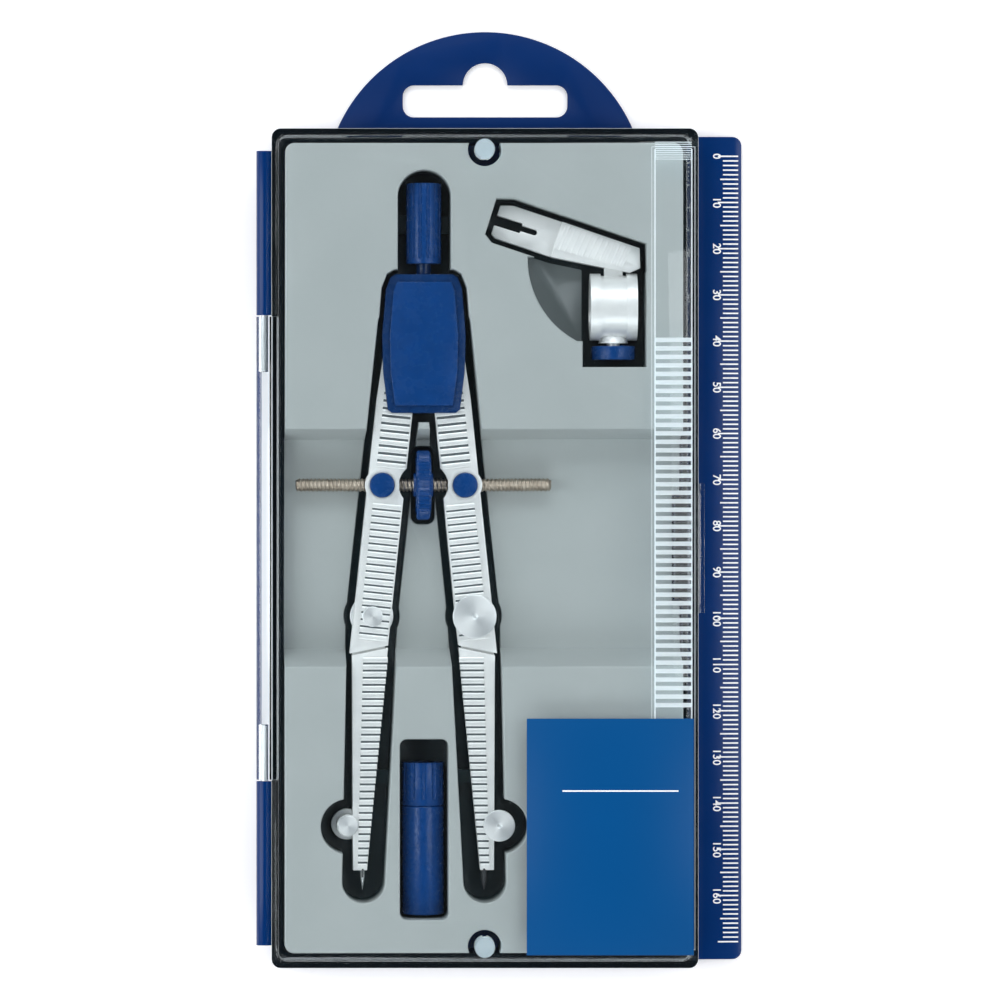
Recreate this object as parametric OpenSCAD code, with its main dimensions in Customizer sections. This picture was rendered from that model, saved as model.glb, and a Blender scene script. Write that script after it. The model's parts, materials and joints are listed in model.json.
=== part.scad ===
// Drafting instrument case: hinged clear lid, base with a ruler edge, formed tray,
// bow compass with centre wheel, pen adapter and lead tube.
// Millimetres. The case lies flat: X across, Y towards the hanging tab, Z up.
// The origin is the middle of the underside of the case body.

/* [Case] */
// Width of the case body, without hinge and ruler
case_w = 92; // [90:0.5:120]
// Length of the case body
case_l = 181; // [176:0.5:220]
// Height of the base, which is also the height of the hinge axis
base_h = 10; // [10:0.5:14]
// Height of the lid, outside
lid_h = 10; // [10:0.5:14]
// Wall of base and lid
wall = 1.5; // [1.2:0.1:2]
// Floor of the base
floor_t = 1.6; // [1.2:0.1:2]
// Radius of the upright corners
corner_r = 2; // [1.8:0.1:4]
// Gap between pieces of the case that close onto each other
case_gap = 0.3; // [0.2:0.05:0.4]
// Thickness of the lip that stands inside the lid
lip_t = 0.9; // [0.7:0.1:1.2]
// Height of that lip above the base wall
lip_h = 2.5; // [1:0.25:4]

/* [Hinge] */
// Radius of the hinge knuckles
knuckle_r = 1.8; // [1.6:0.1:2.2]
// Distance of the hinge axis from the case wall
hinge_out = 1.6; // [1.4:0.1:2]
// Radius of the hinge pins
hinge_pin_r = 0.8; // [0.6:0.05:1]
// Length of the upper and lower base knuckles
knuckle_l = 35.5; // [20:0.5:45]
// Length of the clear knuckle of the lid
lid_knuckle_l = 100; // [60:1:104]

/* [Ruler edge] */
// Width of the ruler edge
ruler_w = 9.5; // [8:0.5:16]
// Length of the ruler edge
ruler_l = 178; // [170:1:180]
// Thickness of the ruler at the case
ruler_t = 2.6; // [2:0.1:3]
// Thickness of the ruler at its bevelled edge
ruler_edge_t = 1; // [0.8:0.1:1.4]

/* [Hanging tab] */
// Radius of the tab's arc
tab_r = 34.9; // [32:0.1:42]
// Height that the tab stands out of the case
tab_out = 21.2; // [20:0.1:26]
// Thickness of the tab
tab_t = 0.8; // [0.6:0.1:1]
// Length of the hanging slot
slot_l = 35.6; // [30:0.1:38]
// Height of the hanging slot
slot_h = 6.9; // [6:0.1:8]
// Radius of the round top of the hanging slot
slot_top_r = 4.8; // [4:0.1:5.5]

/* [Tray] */
// Thickness of the formed sheet
sheet_t = 0.8; // [0.6:0.1:1]
// Height of the tray's two raised fields
tray_top = 16.4; // [15.5:0.1:17]
// Height of the lower field under the spindle
tray_mid = 7.4; // [6.5:0.1:8]
// Height of the floors of the pockets
pocket_floor = 4.4; // [4:0.1:5]
// Upper end of the lower field
mid_hi = 23.5; // [20:0.5:28]
// Lower end of the lower field
mid_lo = -22; // [-26:0.5:-18]

/* [Bow compass] */
// Distance of the compass's middle line from the case's middle
compass_x = -13; // [-14:0.1:-12]
// Height of the compass's middle plane
compass_z = 10.2; // [10.1:0.05:10.4]
// Place of the two leg pivots along the case
pivot_y = 48; // [46:0.5:50]
// Half the distance between the two leg pivots
pivot_half = 4.5; // [4.2:0.1:5]
// Angle of each leg from the middle line in the case
leg_angle = 5.9; // [5.6:0.1:6.2]
// Width of an upper leg
leg_w = 8; // [7:0.1:8.4]
// Thickness of a leg
leg_t = 5; // [4:0.1:5.4]
// Distance of the knee screw from the leg pivot
knee_d = 63.2; // [58:0.2:66]
// Length of a lower leg below the knee screw
shin_l = 55; // [50:0.5:57]
// Width of a lower leg at its tip
shin_tip_w = 3; // [2.6:0.1:3.6]
// Length of the needle and lead that stand out
point_out = 4.4; // [3:0.1:5.5]
// Thickness of the head
head_t = 9.4; // [9:0.1:10]
// Half the greatest width of the head
head_half = 9; // [8.8:0.1:10]
// Radius of the handle
handle_r = 3.8; // [3:0.1:4.4]
// Length of the handle
handle_l = 17.4; // [12:0.1:19]
// Radius of a leg pivot pin
leg_pin_r = 1.2; // [1:0.05:1.4]

/* [Centre wheel and spindle] */
// Distance of the spindle below the leg pivots
spindle_d = 34.4; // [32:0.2:36]
// Radius of the spindle
spindle_r = 1.5; // [1.3:0.05:1.6]
// Length of the spindle
spindle_l = 55.2; // [46:0.2:57]
// Radius of the centre wheel
wheel_r = 7.5; // [6.5:0.1:7.6]
// Thickness of the centre wheel
wheel_t = 3.2; // [2.6:0.1:3.6]
// Radius of a trunnion nut
trunnion_r = 2.7; // [2.5:0.1:2.8]

/* [Thumb screws] */
// Radius of a knee screw's disc head
knee_head_r = 4.7; // [4:0.1:5]
// Radius of a clamp screw's disc head
clamp_head_r = 3.4; // [3:0.1:4]
// Thickness of the disc heads
screw_head_t = 1.6; // [1.2:0.1:1.8]
// Radius of the screws' shafts
screw_r = 1.2; // [1:0.05:1.3]

/* [Pen adapter] */
// Place of the adapter's elbow across the case
elbow_x = 29.5; // [29:0.1:29.8]
// Place of the adapter's elbow along the case
elbow_y = 62.5; // [62:0.1:63]
// Downward slope of the adapter's arm
adapter_slope = 17.5; // [16:0.5:19]
// Half the width of the adapter's arm
arm_half = 4; // [3.4:0.1:4.2]
// Length of the ribbed arm from the elbow
arm_l = 14.5; // [12:0.1:16]
// Length of the flat shank beyond the arm
shank_l = 13.8; // [11:0.1:14.4]
// Outer radius of the pen ring
ring_r = 7.3; // [6.6:0.1:7.4]
// Radius of the pen that goes through the ring
pen_r = 5.6; // [4.5:0.1:5.8]
// Length of the pen ring
ring_l = 10.1; // [8:0.1:10.6]

/* [Lead tube] */
// Radius of the lead tube
tube_r = 4.5; // [3.8:0.05:4.6]
// Length of the closed lead tube
tube_l = 33; // [28:0.5:34]
// Length of the tube's cap
tube_cap_l = 9.4; // [8:0.1:11]
// Place of the tube's lower end
tube_y = -79.6; // [-80:0.1:-79]

/* [Price label] */
// Width of the label on the lid
label_w = 36; // [30:0.5:38]
// Length of the label on the lid
label_l = 51; // [40:0.5:54]
// Thickness of the label
label_t = 0.2; // [0.15:0.05:0.3]

/* [Hidden] */
lip_out = wall + case_gap;                  // outside of the base to its lip
$fn = 64;

run_gap = 0.05;         // radial running clearance of pins and shafts
face_gap = 0.1;         // gap between flat faces that slide on each other
deep = 60;              // longer than any cut has to be
case_h = base_h + lid_h;
roof_z = case_h - wall; // underside of the lid's roof
hinge_x = -case_w / 2 - hinge_out;
knuckle_gap = 0.3;      // end gap between knuckles
catch_l = 28;           // length of the lid's catch tongue
catch_t = 1.4;          // thickness of that tongue
catch_drop = 4;         // how far it reaches down over the base
latch_l = 22;           // length of the latch block in the base
latch_t = 2.8;
latch_h = 4;
post_r = 2.2;           // clear posts that hold the tray down
post_notch_r = 3.6;
post_in = 4.4;          // distance of a post from the case's end
post_l = 5.5;
strip_w = 9.3;          // sunk strip along the lid for its grip ribs
strip_sink = 0.4;

tray_margin = wall + case_gap + lip_t + case_gap;
tray_w = case_w - 2 * tray_margin;
tray_l = case_l - 2 * tray_margin;
mid_slope_hi = 2.2;     // run of the sloped step at each end of the lower field
mid_slope_lo = 3.6;
wheel_floor = compass_z - wheel_r - 0.3;
tray_skirt_z = floor_t; // the skirt stands on the base's floor

leg_pocket_gap = 3.1;   // room beside the legs
head_pocket_gap = 1;
handle_pocket_gap = 1.9;
tube_pocket_gap = 0.7;
tube_pull = 4.6;        // room above the cap, for pulling it off
screw_pocket_gap = 2.6;

leg_lo = compass_z - leg_t / 2;
leg_hi = compass_z + leg_t / 2;
knee = [pivot_half + knee_d * sin(leg_angle), pivot_y - knee_d * cos(leg_angle)];
spindle_y = pivot_y - spindle_d;
trunnion_x = pivot_half + spindle_d * tan(leg_angle) + 0.9;
trunnion_ring_r = trunnion_r + 1;
boss_rise = 0.4;        // how far the ring round a trunnion stands proud
cap_t = 0.8;
knee_drop = 7;          // from the knee screw down to the split between the legs
knee_split = 0.5;
tongue_t = 1.8;
tongue_r = 3.4;
shin_taper = 0.3;
tip_y = knee[1] - shin_l;
shin_out = knee[0] + leg_w / 2 + 0.45;
tip_x = shin_out - shin_taper - 0.7 * shin_tip_w;
clamp_y = tip_y + 9.7;
clamp_x = shin_out + 0.8;
clamp_lug_r = 2.4;
screw_end_r = 2.2;
screw_end_t = 0.9;
point_r = 0.7;
head_top = pivot_y + 11.2;
head_bottom = pivot_y - 18.8;
head_lo = compass_z - head_t / 2;
head_hi = compass_z + head_t / 2;
leg_slot_gap = 0.5;     // room for the legs inside the head
shoulder_d = 16;        // where an upper leg reaches its full width
stem_r = 1.6;
stem_l = 2.4;
handle_y = head_top + stem_l;

tube_z = pocket_floor + tube_r + face_gap;
cap_neck = 5;           // how far the cap covers the tube's neck
tube_wall = 0.9;
cap_wall = 0.8;
lead_r = 1;
adapter_gap = 1.3;      // room round the adapter
adapter_z = floor_t + sheet_t + 0.2 + ring_r;
arm_t = 5.4;
shank_t = 3;
socket_l = 4;           // how far the shank goes into the arm
ring_x = elbow_x - 1.5;
ring_y = elbow_y - 3 - ring_r;
ring_band = 5.6;        // width of the sunk band round the ring
ring_sink = 0.5;
lug_r = 2;              // lug on the ring, riveted into the arm
lug_t = 2;
rivet_r = 0.9;
cone_l = 3.6;           // screw boss under the ring
cone_r = 3.2;
knob_l = 3;
knob_r = 4.7;
adapter_screw_r = 1.4;
ring_pocket_gap = 1.8;
knob_y = ring_y - ring_r - 1.2;
arc_r = 20.2;           // round finger recess beside the ring
arc_floor = 8;

// ---------- shared shapes ----------

// Rectangle with round corners, made of squares and circles so that its faces stay true
module round_rect(w, l, r) {
    square([w - 2 * r, l], center = true);
    square([w, l - 2 * r], center = true);
    for (sx = [-1, 1], sy = [-1, 1])
        translate([sx * (w / 2 - r), sy * (l / 2 - r)]) circle(r);
}

// Straight bar between two points with round ends of radius ra and rb
module bar(a, b, ra, rb) {
    d = b - a;
    n = [-d[1], d[0]] / norm(d);
    polygon([a + n * ra, a - n * ra, b - n * rb, b + n * rb]);
    translate(a) circle(ra);
    translate(b) circle(rb);
}

// Cylinder along Y from y0, at x and z
module rod_y(x, y0, z, r, l) {
    translate([x, y0, z]) rotate([-90, 0, 0]) cylinder(r = r, h = l);
}

// Places a child on the left leg (side -1) or the right leg (side 1)
module on_side(side) {
    translate([compass_x, 0, 0]) mirror([side < 0 ? 1 : 0, 0, 0]) children();
}

module slab(z0, z1) {
    translate([0, 0, z0]) linear_extrude(z1 - z0) children();
}

// ---------- case ----------

module knuckle(y0, l) {
    rod_y(hinge_x, y0, base_h, knuckle_r, l);
}

base_knuckle_y = [lid_knuckle_l / 2 + knuckle_gap,
    -lid_knuckle_l / 2 - knuckle_gap - knuckle_l];

hinge_pin_in = 12;      // how far a pin reaches into each knuckle

// Pins across the two gaps between the knuckles
module hinge_pin_row(r, extra) {
    for (y = [base_knuckle_y[0], base_knuckle_y[1] + knuckle_l])
        rod_y(hinge_x, y - hinge_pin_in - extra, base_h, r, 2 * (hinge_pin_in + extra));
}

module ruler_edge() {
    x0 = case_w / 2 - wall / 2;
    intersection() {
        translate([0, ruler_l / 2, 0]) rotate([90, 0, 0]) linear_extrude(ruler_l)
            polygon([[x0, 0], [case_w / 2 + ruler_w, 0], [case_w / 2 + ruler_w, ruler_edge_t],
                [case_w / 2 + 2, ruler_t], [x0, ruler_t]]);
        translate([case_w / 2, 0, -1]) linear_extrude(ruler_t + 2)
            round_rect(2 * ruler_w, ruler_l, corner_r);
    }
}

module base_shell() {
    web_z = base_h - knuckle_r;
    color([0.03, 0.14, 0.45]) difference() {
        union() {
            slab(0, base_h) round_rect(case_w, case_l, corner_r);
            slab(base_h - 1, base_h + lip_h)
                round_rect(case_w - 2 * lip_out, case_l - 2 * lip_out, corner_r);
            for (y = base_knuckle_y) {
                knuckle(y, knuckle_l);
                translate([hinge_x, y, web_z]) cube([hinge_out + wall, knuckle_l, knuckle_r]);
            }
            ruler_edge();
        }
        difference() {
            slab(floor_t, deep) {
                inner = lip_out + lip_t;
                round_rect(case_w - 2 * inner, case_l - 2 * inner, corner_r);
            }
            translate([case_w / 2 - lip_out - latch_t, -latch_l / 2, 0])
                cube([latch_t, latch_l, base_h + latch_h]);
        }
        rod_y(hinge_x, -lid_knuckle_l / 2 - knuckle_gap, base_h,
            knuckle_r + case_gap, lid_knuckle_l + 2 * knuckle_gap);
        hinge_pin_row(hinge_pin_r, 0);
        slab(-1, tab_t) tab_root(0);
    }
    color([0.03, 0.14, 0.45]) translate([case_w / 2 - lip_out - latch_t, -latch_l / 2, base_h])
        cube([latch_t, latch_l, latch_h]);
}

tab_root_w = 50;        // part of the tab that lies in the underside of the base
tab_root_l = 16;

module tab_root(shrink) {
    translate([-tab_root_w / 2 + shrink, case_l / 2 - tab_root_l + shrink])
        square([tab_root_w - 2 * shrink, tab_root_l + 1 - shrink]);
}

module hang_tab() {
    top = case_l / 2 + tab_out;
    slot_y = top - 15;
    color([0, 0.18, 0.46]) slab(0, tab_t) difference() {
        union() {
            tab_root(0.05);
            intersection() {
                translate([0, top - tab_r]) circle(tab_r, $fn = 120);
                translate([-tab_r, case_l / 2]) square([2 * tab_r, tab_out + 1]);
            }
        }
        translate([0, slot_y]) round_rect(slot_l, slot_h, 2.4);
        translate([0, slot_y + slot_h / 2]) circle(slot_top_r);
    }
}

module hinge_pins() {
    color("silver") hinge_pin_row(hinge_pin_r, 0);
}

module lid_shell() {
    color([0.8, 0.85, 0.88, 0.35]) difference() {
        union() {
            slab(base_h + face_gap, case_h) round_rect(case_w, case_l, corner_r);
            knuckle(-lid_knuckle_l / 2, lid_knuckle_l);
            translate([hinge_x, -lid_knuckle_l / 2, base_h])
                cube([hinge_out + wall, lid_knuckle_l, knuckle_r]);
            translate([case_w / 2, -catch_l / 2, base_h - catch_drop])
                cube([catch_t, catch_l, 2 * catch_drop]);
        }
        slab(base_h - 1, roof_z) round_rect(case_w - 2 * wall, case_l - 2 * wall, corner_r);
        translate([case_w / 2 - 1, -catch_l / 2 - 1, base_h - catch_drop - 1])
            cube([1 + face_gap, catch_l + 2, catch_drop + 1 + face_gap]);
        for (y = base_knuckle_y)
            rod_y(hinge_x, y - knuckle_gap, base_h, knuckle_r + case_gap,
                knuckle_l + 2 * knuckle_gap);
        hinge_pin_row(hinge_pin_r + run_gap, case_gap);
        translate([case_w / 2 - wall / 2 - strip_w, -case_l / 2 + 4, case_h - strip_sink])
            cube([strip_w, case_l - 8, 1]);
    }
}

module lid_posts() {
    color([0.75, 0.8, 0.84, 0.5]) for (s = [-1, 1])
        translate([0, s * (case_l / 2 - post_in), roof_z - post_l]) difference() {
            cylinder(r = post_r, h = post_l);
            translate([-0.4, -deep / 2, -1]) cube([0.8, deep, post_l / 2 + 1]);
        }
}

module price_label() {
    color([0, 0.32, 0.62]) translate([case_w / 2 - label_w - 1, -case_l / 2 + 2.8, case_h])
        cube([label_w, label_l, label_t]);
}

// ---------- tray ----------

// The tray's outer form, a raised field at each end and a lower field between
module tray_form(inset) {
    hi = tray_top - inset;
    mid = tray_mid - inset;
    intersection() {
        slab(tray_skirt_z - (inset > 0 ? 1 : 0), tray_top)
            round_rect(tray_w - 2 * inset, tray_l - 2 * inset, corner_r - inset);
        translate([-case_w / 2, 0, 0]) rotate([90, 0, 90]) linear_extrude(case_w)
            polygon([[-case_l, 0], [-case_l, hi], [mid_lo - mid_slope_lo - inset, hi],
                [mid_lo - inset, mid], [mid_hi + inset, mid],
                [mid_hi + mid_slope_hi + inset, hi], [case_l, hi], [case_l, 0]]);
    }
}

module leg_pocket(g) {
    for (side = [-1, 1]) translate([compass_x, 0]) mirror([side < 0 ? 1 : 0, 0]) {
        bar([pivot_half, pivot_y], knee, leg_w / 2 + g / 2, leg_w / 2 + g / 2);
        bar(knee, [tip_x, tip_y - point_out / 2], leg_w / 2 + g / 2, shin_tip_w / 2 + g);
        translate(knee) circle(knee_head_r + screw_pocket_gap / 2 + g - leg_pocket_gap);
        translate([clamp_x, clamp_y])
            circle(clamp_head_r + screw_pocket_gap + g - leg_pocket_gap);
    }
}

module head_pocket(g) {
    translate([compass_x, 0]) {
        offset(delta = g) head_outline();
        translate([-pivot_half, head_bottom - 2]) square([2 * pivot_half, 6]);
    }
}

module handle_pocket(g) {
    translate([compass_x, 0])
        bar([0, head_top - 2], [0, handle_y + handle_l - handle_r + 0.8],
            handle_r + g, handle_r + g);
}

module wheel_pocket(g) {
    translate([compass_x, spindle_y])
        round_rect(wheel_t + 2 * g, 2 * wheel_r + 2 * g, wheel_t / 2);
}

module tube_pocket(g) {
    w = 2 * (tube_r + g);
    l = tube_l + tube_pull + 2 * g;
    translate([compass_x, tube_y - g + l / 2]) round_rect(w, l, 1.5);
}

// The adapter's arm and shank from above, u away from the elbow and v across
module adapter_outline() {
    u = arm_l + shank_l;
    polygon([[-3.2, arm_half - 0.5], [-4.6, -0.6], [-2.8, -arm_half + 1.8],
        [arm_l, -arm_half], [u - 1, -arm_half + 0.2], [u, -arm_half + 0.9],
        [u, arm_half - 0.6], [u - 2.7, arm_half + 0.2], [arm_l, arm_half]]);
}

module on_arm_2d() {
    translate([elbow_x, elbow_y]) rotate(-adapter_slope) mirror([1, 0]) children();
}

module ring_pocket(g) {
    half = ring_l / 2 + ring_pocket_gap + g;
    y0 = knob_y - knob_l - 1.6 - g;
    translate([ring_x - half, y0]) square([2 * half, elbow_y - y0]);
}

module adapter_pocket(g) {
    on_arm_2d() offset(delta = g) adapter_outline();
}

module finger_recess(g) {
    intersection() {
        translate([elbow_x, elbow_y]) circle(arc_r + g);
        translate([elbow_x - arc_r - g, knob_y + 1 - g]) square([arc_r + g, arc_r - 2 + g]);
    }
}

module post_notch(g) {
    for (s = [-1, 1])
        translate([0, s * (case_l / 2 - post_in)]) circle(post_notch_r + g);
}

module latch_notch(g) {
    translate([case_w / 2 - lip_out - latch_t - case_gap - g, -latch_l / 2 - 1 - g])
        square([latch_t + deep, latch_l + 2 + 2 * g]);
}

// All the pockets, grown by the sheet's thickness for the outside of their walls
module pockets(t) {
    slab(pocket_floor - t, deep) {
        leg_pocket(leg_pocket_gap + t);
        handle_pocket(handle_pocket_gap + t);
        tube_pocket(tube_pocket_gap + t);
        adapter_pocket(adapter_gap + t);
    }
    slab(arc_floor - t, deep) finger_recess(t);
    slab(floor_t + sheet_t - t, deep) ring_pocket(t);
    slab(head_lo - face_gap - t, deep) head_pocket(head_pocket_gap + t);
    slab(wheel_floor - t, deep) wheel_pocket(0.9 + t);
    slab(t > 0 ? tray_skirt_z : -1, deep) {
        post_notch(t);
        latch_notch(t);
    }
}

// Blocks in the pockets that carry the compass
module rests() {
    handle_rest_l = 4;
    slab(pocket_floor - sheet_t, compass_z - handle_r - face_gap)
        translate([compass_x, handle_y + handle_l / 2])
            square([2 * handle_r + 2 * handle_pocket_gap, handle_rest_l], center = true);
    for (side = [-1, 1]) on_side(side)
        slab(pocket_floor - sheet_t, leg_lo - face_gap)
            translate([tip_x - 3, tip_y + 20]) square([8, 3], center = true);
}

module insert_tray() {
    color([0.68, 0.72, 0.75]) union() {
        difference() {
            union() {
                difference() {
                    tray_form(0);
                    tray_form(sheet_t);
                }
                intersection() {
                    tray_form(0);
                    pockets(sheet_t);
                }
            }
            pockets(0);
        }
        rests();
    }
}

// ---------- bow compass ----------

module handle() {
    flutes = 14;
    color([0.04, 0.16, 0.5]) translate([compass_x, handle_y, compass_z]) rotate([-90, 0, 0])
        difference() {
            cylinder(r = handle_r, h = handle_l);
            for (i = [0 : flutes - 1]) rotate(i * 360 / flutes)
                translate([handle_r, 0, 1.2]) cylinder(r = 0.35, h = handle_l, $fn = 16);
            translate([0, 0, -1]) cylinder(r = stem_r, h = 7);
        }
}

module handle_stem() {
    color([0.05, 0.2, 0.55]) rod_y(compass_x, head_top - 4, compass_z, stem_r, stem_l + 10);
}

// Half widths of the head from its bottom to its top
module head_outline() {
    side = [[head_half - 2.1, head_bottom], [head_half - 1.2, head_bottom + 0.8],
        [head_half - 0.2, pivot_y - 10], [head_half, pivot_y - 2],
        [head_half - 0.8, pivot_y + 8], [head_half - 1.8, pivot_y + 10.6],
        [head_half - 2.8, head_top]];
    polygon(concat(side, [for (i = [len(side) - 1 : -1 : 0]) [-side[i][0], side[i][1]]]));
}

module head_slots() {
    for (side = [-1, 1]) on_side(side) {
        slab(leg_lo - face_gap, leg_hi + face_gap)
            bar([pivot_half, pivot_y], knee, pivot_half - face_gap / 2, leg_w / 2 + leg_slot_gap);
        translate([pivot_half, pivot_y, head_lo + 0.9])
            cylinder(r = leg_pin_r, h = head_t - 1.8);
    }
    rod_y(compass_x, head_top - 4, compass_z, stem_r, 10);
}

module head_half_shell(z0, z1) {
    color([0.03, 0.13, 0.43]) difference() {
        translate([compass_x, 0, 0]) slab(z0, z1) head_outline();
        head_slots();
        head_screw_places() cylinder(r = screw_hole_r, h = head_t);
    }
}

screw_hole_r = 0.8;
module head_screw_places() {
    for (y = [head_bottom + 3, head_top - 6])
        translate([compass_x, y, head_lo + 0.6]) children();
}

module head_front() {
    head_half_shell(compass_z, head_hi - 0.6);
}

module head_rear() {
    head_half_shell(head_lo, compass_z);
}

module head_panel() {
    inset = 1.6;
    color([0.04, 0.17, 0.52]) translate([compass_x, 0, 0])
        slab(head_hi - 0.6, head_hi) offset(delta = -inset) head_outline();
}

module head_screws() {
    color("silver") head_screw_places() cylinder(r = screw_hole_r, h = head_t - 2.6);
}

module leg_pivot_pins() {
    color("silver") for (side = [-1, 1]) on_side(side)
        translate([pivot_half, pivot_y, head_lo + 0.9])
            cylinder(r = leg_pin_r, h = head_t - 1.8);
}

// All that lies below the slanting split between the upper and the lower leg
module below_split(gap) {
    translate([knee[0], knee[1] - knee_drop - gap]) rotate(-leg_angle * 2)
        translate([-20, -80]) square([40, 80]);
}

module upper_leg(side) {
    color([0.86, 0.87, 0.88]) on_side(side) difference() {
        union() {
            slab(leg_lo, leg_hi) difference() {
                translate([pivot_half, pivot_y]) {
                    circle(pivot_half - 0.6);
                    rotate(leg_angle) polygon([[-3.2, 0], [3.2, 0], [leg_w / 2, -shoulder_d],
                        [leg_w / 2, -knee_d - 15], [-leg_w / 2, -knee_d - 15],
                        [-leg_w / 2, -shoulder_d]]);
                }
                below_split(0);
                translate([trunnion_x - 8.2, spindle_y]) circle(4.6);
            }
            slab(leg_lo - boss_rise, leg_hi + boss_rise)
                translate([trunnion_x, spindle_y]) circle(trunnion_ring_r);
        }
        translate([pivot_half, pivot_y, 0]) cylinder(r = leg_pin_r + run_gap, h = deep);
        translate([trunnion_x, spindle_y, 0]) cylinder(r = trunnion_r + run_gap, h = deep);
        translate([trunnion_x - 10, spindle_y, compass_z]) rotate([0, 90, 0])
            cylinder(r = spindle_r + 0.6, h = 20);
        translate([knee[0], knee[1], 0]) cylinder(r = screw_r + run_gap, h = deep);
        slab(compass_z - tongue_t / 2 - face_gap, compass_z + tongue_t / 2 + face_gap)
            translate(knee) rotate(leg_angle)
                translate([-leg_w, -12]) square([2 * leg_w, 12 + tongue_r + 0.4]);
    }
}

module left_upper_leg() {
    upper_leg(-1);
}

module right_upper_leg() {
    upper_leg(1);
}

module lower_leg(side) {
    color([0.84, 0.85, 0.86]) on_side(side) difference() {
        union() {
            slab(leg_lo, leg_hi) {
                intersection() {
                    polygon([[shin_out, knee[1]], [shin_out - shin_taper, tip_y],
                        [shin_out - shin_taper - shin_tip_w, tip_y], [knee[0] - leg_w / 2, knee[1]]]);
                    below_split(knee_split);
                }
                translate([clamp_x, clamp_y]) circle(clamp_lug_r);
                translate([shin_out - 2, clamp_y - clamp_lug_r + 0.6])
                    square([clamp_x - shin_out + 2, 2 * clamp_lug_r - 1.2]);
            }
            slab(compass_z - tongue_t / 2, compass_z + tongue_t / 2)
                bar(knee, knee + [0.9, -knee_drop - 2], tongue_r, tongue_r);
        }
        translate([knee[0], knee[1], 0]) cylinder(r = screw_r + run_gap, h = deep);
        translate([clamp_x, clamp_y, 0]) cylinder(r = screw_r + run_gap, h = deep);
        rod_y(tip_x, tip_y - 1, compass_z, point_r, 13);
        translate([tip_x - 0.25, tip_y - 1, compass_z]) cube([0.5, 13, leg_t]);
    }
}

module left_lower_leg() {
    lower_leg(-1);
}

module right_lower_leg() {
    lower_leg(1);
}

// Thumb screw with its disc head on top (up = 1) or underneath (up = -1)
module thumb_screw(p, head_r, up) {
    color([0.82, 0.82, 0.82]) translate([p[0], p[1], compass_z])
        mirror([0, 0, up < 0 ? 1 : 0]) {
            half = leg_t / 2 + face_gap;
            translate([0, 0, -half - screw_end_t / 2]) cylinder(r = screw_r, h = 2 * half + 1);
            translate([0, 0, half]) difference() {
                cylinder(r = head_r, h = screw_head_t);
                translate([0, 0, screw_head_t - 0.4]) cylinder(r = 0.5, h = 1, $fn = 24);
            }
            translate([0, 0, -half - screw_end_t]) cylinder(r = screw_end_r, h = screw_end_t);
        }
}

module left_knee_screw() {
    on_side(-1) thumb_screw(knee, knee_head_r, -1);
}

module right_knee_screw() {
    on_side(1) thumb_screw(knee, knee_head_r, 1);
}

module needle_clamp_screw() {
    on_side(-1) thumb_screw([clamp_x, clamp_y], clamp_head_r, -1);
}

module lead_clamp_screw() {
    on_side(1) thumb_screw([clamp_x, clamp_y], clamp_head_r, 1);
}

// A point held in a lower leg, with a cone of its own length
module leg_point(side, cone_l) {
    on_side(side) translate([tip_x, tip_y, compass_z]) rotate([90, 0, 0]) {
        translate([0, 0, -11]) cylinder(r = point_r, h = 11 + point_out - cone_l);
        translate([0, 0, point_out - cone_l]) cylinder(r1 = point_r, r2 = 0.08, h = cone_l);
    }
}

module needle() {
    color("silver") leg_point(-1, 3);
}

module lead() {
    color([0.25, 0.25, 0.27]) leg_point(1, 2.2);
}

module rod_x(x0, r, l) {
    translate([compass_x + x0, spindle_y, compass_z]) rotate([0, 90, 0]) cylinder(r = r, h = l);
}

module spindle() {
    color([0.76, 0.68, 0.6]) difference() {
        rod_x(-spindle_l / 2, spindle_r, spindle_l);
        for (end = [-1, 1]) rod_x(end * spindle_l / 2 - 0.3, 0.4, 0.6);
    }
}

module centre_wheel() {
    color([0.04, 0.18, 0.55]) difference() {
        union() {
            rod_x(-wheel_t / 2, wheel_r, wheel_t);
            rod_x(-wheel_t / 2 - 0.5, 2.6, wheel_t + 1);
        }
        rod_x(-wheel_t, spindle_r, 2 * wheel_t);
    }
}

module trunnion(side) {
    color([0.88, 0.88, 0.88]) on_side(side) difference() {
        translate([trunnion_x, spindle_y, leg_lo]) cylinder(r = trunnion_r, h = leg_t + boss_rise);
        translate([trunnion_x - 5, spindle_y, compass_z]) rotate([0, 90, 0])
            cylinder(r = spindle_r + 0.1, h = 10);
    }
}

module left_trunnion() {
    trunnion(-1);
}

module right_trunnion() {
    trunnion(1);
}

module trunnion_cap(side) {
    color([0.04, 0.2, 0.58]) on_side(side)
        translate([trunnion_x, spindle_y, leg_hi + boss_rise]) cylinder(r = trunnion_r, h = cap_t);
}

module left_trunnion_cap() {
    trunnion_cap(-1);
}

module right_trunnion_cap() {
    trunnion_cap(1);
}

// ---------- pen adapter ----------

module on_arm() {
    translate([elbow_x, elbow_y, adapter_z]) rotate([0, 0, -adapter_slope])
        mirror([1, 0, 0]) children();
}

module arm_part(u0, u1) {
    intersection() {
        adapter_outline();
        translate([u0, -deep / 2]) square([u1 - u0, deep]);
    }
}

module shank_tenon(gap) {
    translate([arm_l - socket_l - gap, -arm_half + 1.6 - gap])
        square([socket_l + gap + 0.1, 2 * arm_half - 3.2 + 2 * gap]);
}

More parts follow.
